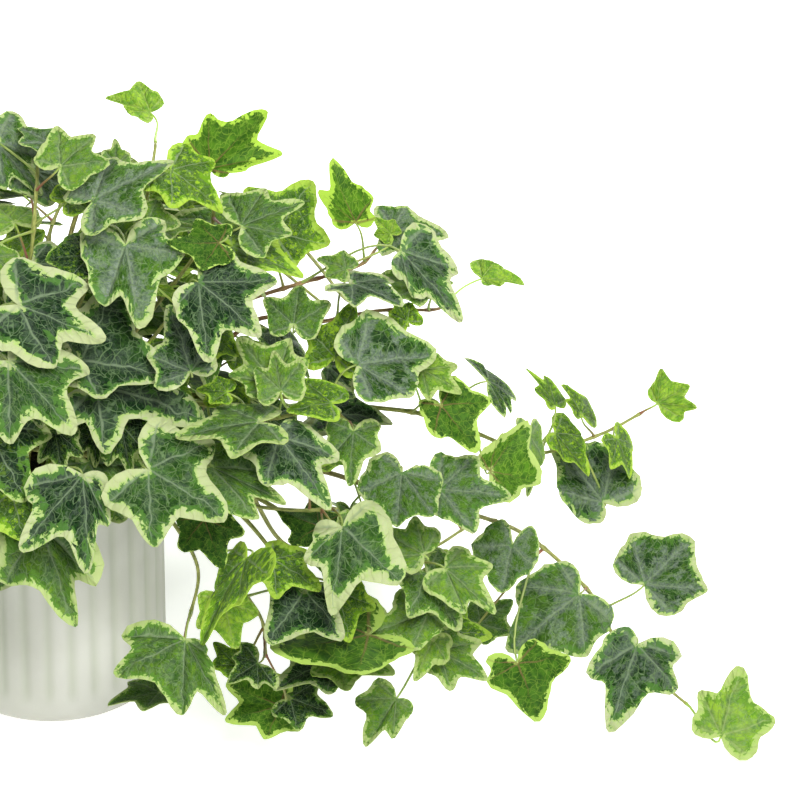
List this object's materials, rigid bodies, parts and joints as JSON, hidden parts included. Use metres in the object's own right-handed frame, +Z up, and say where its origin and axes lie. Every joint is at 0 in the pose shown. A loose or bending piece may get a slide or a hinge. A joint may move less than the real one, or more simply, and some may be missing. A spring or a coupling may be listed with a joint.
{
  "type": "potted variegated ivy",
  "caption": "Variegated ivy with lobed cream-edged leaves on arching and trailing stems, in a fluted round white pot.",
  "frame": {"origin": "middle of the pot's flat base", "axes": "+Z up along the pot's axis, +X towards the longest trailing stem at the viewer's right, -Y towards the viewer"},
  "size_m": [0.7157, 0.5277, 0.3427],
  "materials": {
    "pot": "matt warm white",
    "soil": "dark crumbly potting mix",
    "ivy": "satin green with cream and yellow-green margins"
  },
  "bodies": {
    "root": {"pot": "pot", "soil": "soil", "vine_01": "ivy", "vine_02": "ivy", "vine_03": "ivy", "vine_04": "ivy", "vine_05": "ivy", "vine_06": "ivy", "vine_07": "ivy", "vine_08": "ivy", "vine_09": "ivy", "vine_10": "ivy", "vine_11": "ivy", "vine_12": "ivy", "vine_13": "ivy", "vine_14": "ivy", "vine_15": "ivy", "vine_16": "ivy", "vine_17": "ivy", "vine_18": "ivy", "vine_19": "ivy", "vine_20": "ivy", "vine_21": "ivy", "vine_22": "ivy", "vine_23": "ivy", "vine_24": "ivy", "vine_25": "ivy", "vine_26": "ivy", "vine_27": "ivy", "vine_28": "ivy", "vine_29": "ivy", "vine_30": "ivy", "vine_31": "ivy", "vine_32": "ivy", "vine_33": "ivy", "vine_34": "ivy", "vine_35": "ivy", "vine_36": "ivy", "vine_37": "ivy", "vine_38": "ivy"}
  },
  "joints": []
}
